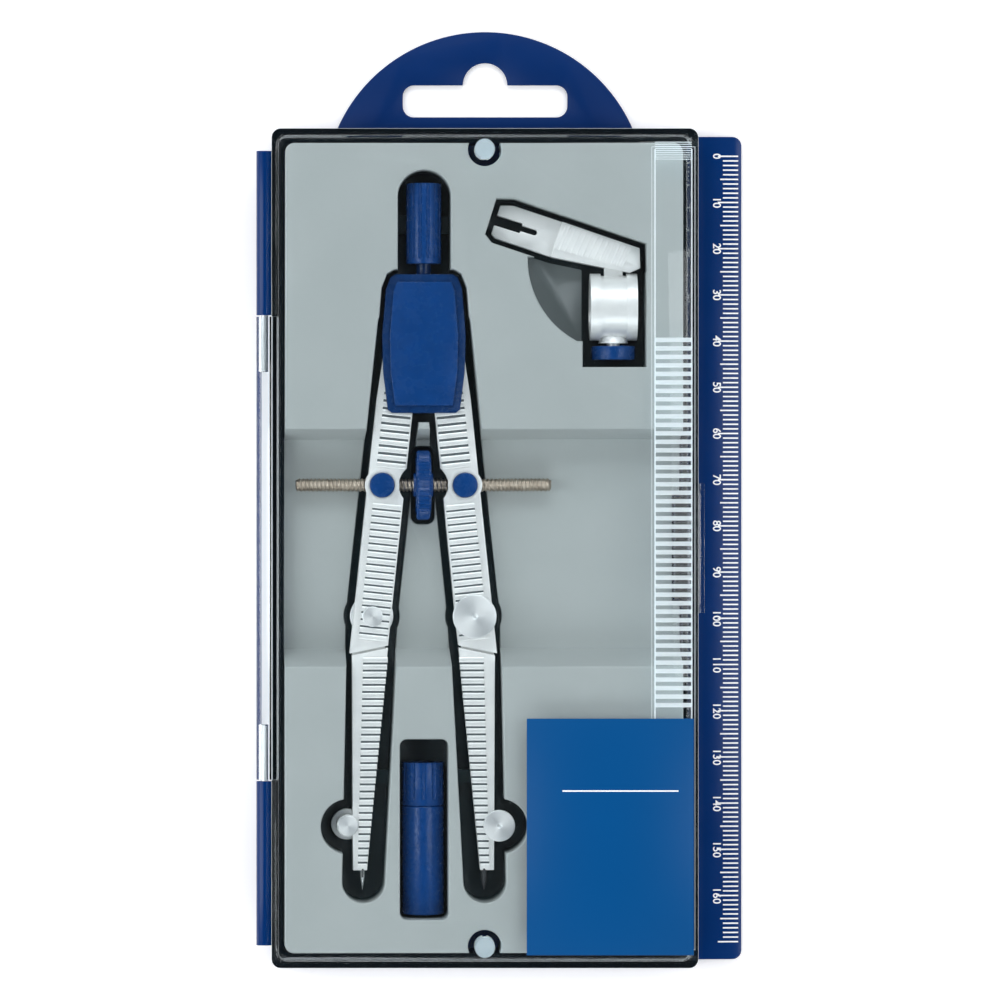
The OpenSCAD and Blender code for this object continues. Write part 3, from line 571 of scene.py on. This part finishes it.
def makeLidRibs():
    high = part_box("lid_shell")[1]
    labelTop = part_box("price_label")[1].y
    top = high.y - gripRibs["fromTop"] * mm
    pitch = gripRibs["pitch"] * mm
    x = gripRibs["middle"] * mm
    across = gripRibs["length"] * mm
    sizes = {"First_Length": across, "Last_Length": across,
             "Bar_Height": gripRibs["height"] * mm}
    # the bars use the pale frost, a painted highlight on the clear ribs
    rows = [barRow(ribsPaintedHighlight, Count=int((top - labelTop) / pitch), Start=(x, top, high.z),
                   Step=(0, -pitch, 0), Bar_Width=gripRibs["width"] * mm, **sizes)]
    line = gripRibs["lineLength"] * mm
    rows.append(barRow(ribsPaintedHighlight, Count=2, Start=(x - across / 2, 0, high.z),
                       Step=(across, 0, 0), First_Length=line, Last_Length=line,
                       Bar_Width=gripRibs["lineWidth"] * mm,
                       Bar_Height=gripRibs["height"] * mm, Turn=math.pi / 2))
    rows.append(barRow(ribsPaintedHighlight, Count=gripRibs["endRows"],
                       Start=(x, high.y - gripRibs["endFrom"] * mm, high.z),
                       Step=(0, -pitch / 4, 0), Bar_Width=gripRibs["lineWidth"] * mm / 2,
                       **sizes))
    mesh = joinMeshes(rows)
    mesh.transform(Matrix.Translation((0, 0, -gripRibs["sunk"] * mm)))
    addPiece("lidGripRibs", mesh, "lid", ribsPaintedHighlight)


labelPrint = {"ruleY": -52.3, "ruleFrom": 16.7, "ruleTo": 41.7, "rule": 0.3, "ink": 0.04}


def makeLabelPrint():
    # one rule stands for the print, which is left out
    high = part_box("price_label")[1]
    length = (labelPrint["ruleTo"] - labelPrint["ruleFrom"]) * mm
    middle = (labelPrint["ruleTo"] + labelPrint["ruleFrom"]) / 2 * mm
    mesh = barRow(whiteInk, Count=1, Start=(middle, labelPrint["ruleY"] * mm, high.z),
                  First_Length=length, Last_Length=length, Bar_Width=labelPrint["rule"] * mm,
                  Bar_Height=labelPrint["ink"] * mm)
    addPiece("labelRule", mesh, "lid", whiteInk)


scale = {"zero": 84.8, "last": 170, "outer": 54.8, "mmLength": 3.3, "fiveMore": 0.6,
         "tenMore": 1.1, "tick": 0.31, "ink": 0.05, "figure": 2.4, "figureMiddle": 50.1,
         "thick": 2.6, "edge": 1.0, "slope": 7.5}
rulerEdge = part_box("base_shell")[1].x


def bevelHeight(x):
    # height of the ruler's sloping face at x
    share = min(1.0, max(0.0, 1 - (rulerEdge - x) / (scale["slope"] * mm)))
    return (scale["thick"] - (scale["thick"] - scale["edge"]) * share) * mm


def slopeTicks(first, step, count, outer, length):
    start = Vector(((outer - length / 2) * mm, (scale["zero"] - first) * mm, 0))
    mesh = barRow(whiteInk, Count=count, Start=tuple(start), Step=(0, -step * mm, 0),
                  First_Length=length * mm, Last_Length=length * mm,
                  Bar_Width=scale["tick"] * mm, Bar_Height=scale["ink"] * mm)
    for v in mesh.vertices:
        v.co.z += bevelHeight(v.co.x)
    return mesh


def figureMesh(text, middle, size):
    curve = bpy.data.curves.new("figure", "FONT")
    curve.body = text
    curve.size = size * mm
    curve.align_x = "CENTER"
    curve.align_y = "CENTER"
    curve.extrude = scale["ink"] * mm / 2
    curve.offset = 0.00003
    draft = bpy.data.objects.new("figure", curve)
    bpy.context.scene.collection.objects.link(draft)
    mesh = evaluatedMesh(draft)
    bpy.data.objects.remove(draft)
    mesh.transform(Matrix.Translation(middle) @ Matrix.Rotation(-math.pi / 2, 4, "Z"))
    for v in mesh.vertices:
        v.co.z += bevelHeight(v.co.x)
    return mesh


def makeScale():
    inner = scale["outer"] - scale["mmLength"]
    parts = [slopeTicks(0, 1, scale["last"] + 1, scale["outer"], scale["mmLength"]),
             slopeTicks(5, 10, scale["last"] // 10, inner, scale["fiveMore"]),
             slopeTicks(0, 10, scale["last"] // 10 + 1, inner, scale["tenMore"])]
    for value in range(0, scale["last"], 10):
        middle = Vector((scale["figureMiddle"] * mm, (scale["zero"] - value) * mm, 0))
        parts.append(figureMesh(str(value), middle, scale["figure"]))
    addPiece("rulerPrint", joinMeshes(parts), "case", whiteInk)


def makeCompassBody():
    finishNode("handle", "case", blueAbs, 0.15, 2)
    finishNode("handle_stem", "case", deepBlueAbs, 0.15)
    finishNode("head_front", "case", deepBlueAbs, 0.5)
    finishNode("head_rear", "case", deepBlueAbs, 0.5)
    finishNode("head_panel", "case", blueAbs, 0.28)
    finishNode("head_screws", "case", plainSteel, 0.1)
    finishNode("leg_pivot_pins", "case", plainSteel, 0.1)


def makeLegs():
    for side in ("left", "right"):
        finishNode(side + "_upper_leg", side + "_leg", nickel, 0.3)
        finishNode(side + "_lower_leg", side + "_shin", nickel, 0.25)
        finishNode(side + "_trunnion", side + "_nut", nickel, 0.15)
        finishNode(side + "_trunnion_cap", side + "_nut", blueAbs, 0.3)


legRibs = {"pitch": 1.5, "width": 1.12, "height": 0.6, "groove": 0.14, "across": 6.2, "inward": 0.6,
           "fromPivot": 14, "beforeNut": 4.4, "afterNut": 4.6, "pastKnee": 4.6,
           "shinStart": (0.65, 9.4), "shinAcross": (5.3, 2.0), "aboveTip": 0.9}


def flatPlate(corners, z, height):
    bm = bmesh.new()
    rows = [[bm.verts.new((c.x, c.y, level)) for c in corners] for level in (z - height, z + height)]
    bm.faces.new(rows[0])
    bm.faces.new(rows[1])
    for i in range(len(corners)):
        k = (i + 1) % len(corners)
        bm.faces.new((rows[0][i], rows[0][k], rows[1][k], rows[1][i]))
    bmesh.ops.recalc_face_normals(bm, faces=bm.faces)
    mesh = bpy.data.meshes.new("plate")
    bm.to_mesh(mesh)
    bm.free()
    return mesh


def legRibRow(side, start, end, startWidth, endWidth, body, name, turn):
    # bars across a leg between two points of its ribbed strip
    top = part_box(side + "_lower_leg")[1].z
    run = end - start
    count = int(run.length / (legRibs["pitch"] * mm)) + 1
    step = run / (count - 1)
    mesh = barRow(nickel, Count=count, Start=(start.x, start.y, top),
                  Step=(step.x, step.y, 0), First_Length=startWidth * mm,
                  Last_Length=endWidth * mm, Bar_Width=legRibs["width"] * mm,
                  Bar_Height=legRibs["height"] * mm, Turn=turn)
    addPiece(name, mesh, body, nickel)
    # a dark plate under the bars paints the shade in the grooves between them
    tilt = math.atan2(run.x, -run.y)
    square = Vector((math.cos(tilt), math.sin(tilt), 0))
    corners = [start + square * startWidth * mm / 2, end + square * endWidth * mm / 2,
               end - square * endWidth * mm / 2, start - square * startWidth * mm / 2]
    addPiece(name + "Grooves", flatPlate(corners, top, legRibs["groove"] * mm), body,
             paintedGrooveShade)


def makeLegRibs():
    for side, sign in (("left", -1), ("right", 1)):
        pivot = jointPlace[side + "_leg_swing"]
        knee = jointPlace[side + "_knee_bend"]
        nut = jointPlace[side + "_nut_turn"]
        along = (knee - pivot).normalized()
        lean = math.atan2(along.x, -along.y)
        shift = Vector((-sign * legRibs["inward"] * mm, 0, 0))
        nutAt = (nut - pivot).length / mm
        kneeAt = (knee - pivot).length / mm
        spans = ((legRibs["fromPivot"], nutAt - legRibs["beforeNut"], "Top"),
                 (nutAt + legRibs["afterNut"], kneeAt + legRibs["pastKnee"], "Middle"))
        for near, far, place in spans:
            legRibRow(side, pivot + along * near * mm + shift, pivot + along * far * mm + shift,
                      legRibs["across"], legRibs["across"], side + "_leg",
                      side + "LegRibs" + place, lean)
        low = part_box(side + "_lower_leg")[0]
        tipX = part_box("needle" if side == "left" else "lead")[0].x + 0.7 * mm
        inset, below = legRibs["shinStart"]
        start = Vector((knee.x - sign * inset * mm, knee.y - below * mm, 0))
        end = Vector((tipX + sign * 0.1 * mm, low.y + legRibs["aboveTip"] * mm, 0))
        legRibRow(side, start, end, *legRibs["shinAcross"], side + "_shin", side + "ShinRibs", 0)


def makeScrews():
    for node in ("left_knee_screw", "right_knee_screw", "needle_clamp_screw", "lead_clamp_screw"):
        low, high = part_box(node)
        middle = (low + high) / 2
        steel = turnedSteel("facedSteel_" + node, middle)
        finishNode(node, node, steel, 0.18)     # each screw is its own body
    finishNode("needle", "left_shin", needleSteel, 0.03, 1)
    finishNode("lead", "right_shin", leadGraphite, 0.03, 1)


thread = {"pitch": 0.85, "depth": 0.32, "steps": 20, "chamfer": 0.5}


def makeSpindle():
    low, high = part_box("spindle")
    radius = (high.z - low.z) / 2
    length = high.x - low.x
    rings = int(length / mm / thread["pitch"] * 4)
    bm = bmesh.new()
    rows = []
    for i in range(rings + 1):
        x = low.x + length * i / rings
        endDistance = min(x - low.x, high.x - x) / mm
        taper = min(1.0, 0.72 + 0.28 * endDistance / thread["chamfer"])
        row = []
        for k in range(thread["steps"]):
            angle = 2 * math.pi * k / thread["steps"]
            phase = (x - low.x) / (thread["pitch"] * mm) - k / thread["steps"]
            cut = thread["depth"] * mm * (0.5 - 0.5 * math.cos(2 * math.pi * phase))
            r = (radius - cut) * taper
            row.append(bm.verts.new((x, (low.y + high.y) / 2 + r * math.cos(angle),
                                     (low.z + high.z) / 2 + r * math.sin(angle))))
        rows.append(row)
    for first, second in zip(rows, rows[1:]):
        for k in range(thread["steps"]):
            following = (k + 1) % thread["steps"]
            bm.faces.new((first[k], first[following], second[following], second[k]))
    bm.faces.new(rows[0])
    bm.faces.new(rows[-1])
    bmesh.ops.recalc_face_normals(bm, faces=bm.faces)
    mesh = bpy.data.meshes.new("spindle")
    bm.to_mesh(mesh)
    bm.free()
    addPiece("threadedSpindle", mesh, "spindle", threadSteel, ("spindle",), 80)


wheelShape = {"teeth": 44, "toothDepth": 0.3, "rim": 0.35, "half": 1.6, "hub": 0.5, "bore": 1.5,
              "dish": 0.15}


def makeWheel():
    # disc with a knurled rim: the rim radius swings with the angle
    low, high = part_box("centre_wheel")
    middle = (low + high) / 2
    radius = (high.z - low.z) / 2
    half, hub, bore, dish, rim = (wheelShape[part] * mm
                                  for part in ("half", "hub", "bore", "dish", "rim"))
    steps = wheelShape["teeth"] * 4
    profile = [(bore, -half - hub), (2.5 * mm, -half - hub), (2.6 * mm, -half),
               (radius - 1.5 * mm, -half), (radius - 1.3 * mm, -half + dish),
               (radius - rim, -half + dish), (radius, -half + dish + rim)]
    profile += [(r, -h) for r, h in reversed(profile)]
    bm = bmesh.new()
    rings = []
    for r, h in profile:
        ring = []
        for k in range(steps):
            angle = 2 * math.pi * k / steps
            notch = wheelShape["toothDepth"] * mm * (0.5 - 0.5 * math.cos(
                angle * wheelShape["teeth"])) if r > radius - 0.6 * mm else 0
            ring.append(bm.verts.new((h, (r - notch) * math.cos(angle),
                                      (r - notch) * math.sin(angle))))
        rings.append(ring)
    rings.append(rings[0])
    for a, b in zip(rings, rings[1:]):
        for k in range(steps):
            n = (k + 1) % steps
            bm.faces.new((a[k], a[n], b[n], b[k]))
    bmesh.ops.recalc_face_normals(bm, faces=bm.faces)
    bm.transform(Matrix.Translation(middle))
    mesh = bpy.data.meshes.new("wheel")
    bm.to_mesh(mesh)
    bm.free()
    addPiece("knurledWheel", mesh, "spindle", blueAbs, ("centre_wheel",))


def makeAdapter():
    finishNode("adapter_shank", "case", nickel, 0.18)
    finishNode("adapter_arm", "case", nickel, 0.25)
    finishNode("pen_ring", "case", nickel, 0.2)
    finishNode("adapter_rivet", "case", plainSteel, 0.08)
    finishNode("adapter_screw", "adapter_knob", plainSteel, 0.1)
    finishNode("adapter_knob", "adapter_knob", blueAbs, 0.25)


armRibs = {"elbow": (29.5, 62.5), "slope": 17.5, "count": 12, "first": 13.4, "pitch": 1.28,
           "width": 1.0, "height": 0.55, "lengths": (5.8, 4.6), "raised": 0.8, "lean": 0.12}


def makeArmRibs():
    elbow = Vector((*armRibs["elbow"], 0)) * mm
    slope = math.radians(armRibs["slope"])
    along = Vector((-math.cos(slope), math.sin(slope), 0))
    across = Vector((math.sin(slope), math.cos(slope), 0))
    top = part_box("adapter_arm")[1].z
    start = elbow + along * armRibs["first"] * mm + across * armRibs["raised"] * mm
    step = -along * armRibs["pitch"] * mm
    mesh = barRow(nickel, Count=armRibs["count"], Start=(start.x, start.y, top),
                  Step=tuple(step), First_Length=armRibs["lengths"][0] * mm,
                  Last_Length=armRibs["lengths"][1] * mm,
                  Bar_Width=armRibs["width"] * mm, Bar_Height=armRibs["height"] * mm,
                  Turn=math.pi / 2 - slope - armRibs["lean"])
    addPiece("adapterArmRibs", mesh, "case", nickel)


def makeTube():
    finishNode("lead_tube", "case", blueAbs, 0.3)
    finishNode("tube_cap", "tube_cap", blueAbs, 0.15, 2)
    finishNode("spare_leads", "case", leadGraphite, 0.05, 1)


shot = {"centre": (3.24, 10.4), "span": 216.0, "distance": 4.0}


def makeCamera():
    camera = bpy.data.cameras.new("camera")
    camera.sensor_width = 36
    camera.lens = 36 * shot["distance"] / (shot["span"] * mm)
    camera.clip_start = 0.01
    holder = bpy.data.objects.new("camera", camera)
    holder.location = (shot["centre"][0] * mm, shot["centre"][1] * mm, shot["distance"] + 0.01)
    bpy.context.scene.collection.objects.link(holder)
    bpy.context.scene.camera = holder


def softLight(name, place, aim, size, power):
    light = bpy.data.lights.new(name, "AREA")
    light.shape = "RECTANGLE"
    light.size, light.size_y = size
    light.energy = power
    holder = bpy.data.objects.new(name, light)
    holder.location = place
    holder.rotation_euler = (Vector(aim) - Vector(place)).to_track_quat("-Z", "Y").to_euler()
    bpy.context.scene.collection.objects.link(holder)


studio = {"bank": 11, "sides": 0.5, "ceiling": 0.04, "floorGlow": 0.25, "floorHalf": 3.0,
          "away": 1.15, "up": 1.0, "long": 1.6, "short": 0.7, "aim": 0.05, "weaker": 0.8}


def makeWorld():
    # a light tent: bright sides and a dark ceiling, so that level faces keep their colour
    world = bpy.data.worlds.new("studio")
    world.use_nodes = True
    tree = world.node_tree
    aim = addNode(tree, "ShaderNodeTexCoord")
    height = addNode(tree, "ShaderNodeSeparateXYZ", {}, {0: aim.outputs["Generated"]})
    strength = addNode(tree, "ShaderNodeMapRange",
                       {"interpolation_type": "SMOOTHSTEP", "From Min": 0.55, "From Max": 0.95,
                        "To Min": studio["sides"], "To Max": studio["ceiling"]},
                       {"Value": height.outputs["Z"]})
    tree.links.new(strength.outputs["Result"], tree.nodes["Background"].inputs["Strength"])
    tree.nodes["Background"].inputs["Color"].default_value = (0.96, 0.98, 1.0, 1)
    bpy.context.scene.world = world


def makeStudio():
    floorMesh = bpy.data.meshes.new("floor")
    half = studio["floorHalf"]
    floorMesh.from_pydata([(-half, -half, 0), (half, -half, 0), (half, half, 0),
                           (-half, half, 0)], [], [(0, 1, 2, 3)])
    paper, _, shader = newMaterial("palePaperSweep", "#FAFAFA", Roughness=0.95)
    shader.inputs["Emission Color"].default_value = (1, 1, 1, 1)
    shader.inputs["Emission Strength"].default_value = studio["floorGlow"]
    floorMesh.materials.append(paper)
    floor = bpy.data.objects.new("floor", floorMesh)
    floor.location.z = -0.0003
    bpy.context.scene.collection.objects.link(floor)
    makeWorld()
    away, up, aim = studio["away"], studio["up"], studio["aim"]
    wide, tall = (studio["long"], studio["short"]), (studio["short"], studio["long"])
    weak = studio["bank"] * studio["weaker"]
    softLight("topBank", (0, away, up), (0, aim, 0), wide, studio["bank"])
    softLight("bottomBank", (0, -away, up), (0, -aim, 0), wide, weak)
    softLight("leftBank", (-away, 0, up), (-aim, 0, 0), tall, studio["bank"])
    softLight("rightBank", (away, 0, up), (aim, 0, 0), tall, weak)
    bpy.context.scene.view_settings.view_transform = "Standard"


makeCamera()
makeStudio()
print("camera and studio ready")
makeTray()
makeCase()
makeLidRibs()
makeLabelPrint()
makeScale()
print("case finished")
makeCompassBody()
makeLegs()
makeLegRibs()
makeScrews()
makeSpindle()
makeWheel()
print("compass finished")
makeAdapter()
makeArmRibs()
makeTube()
print("adapter and lead tube finished")
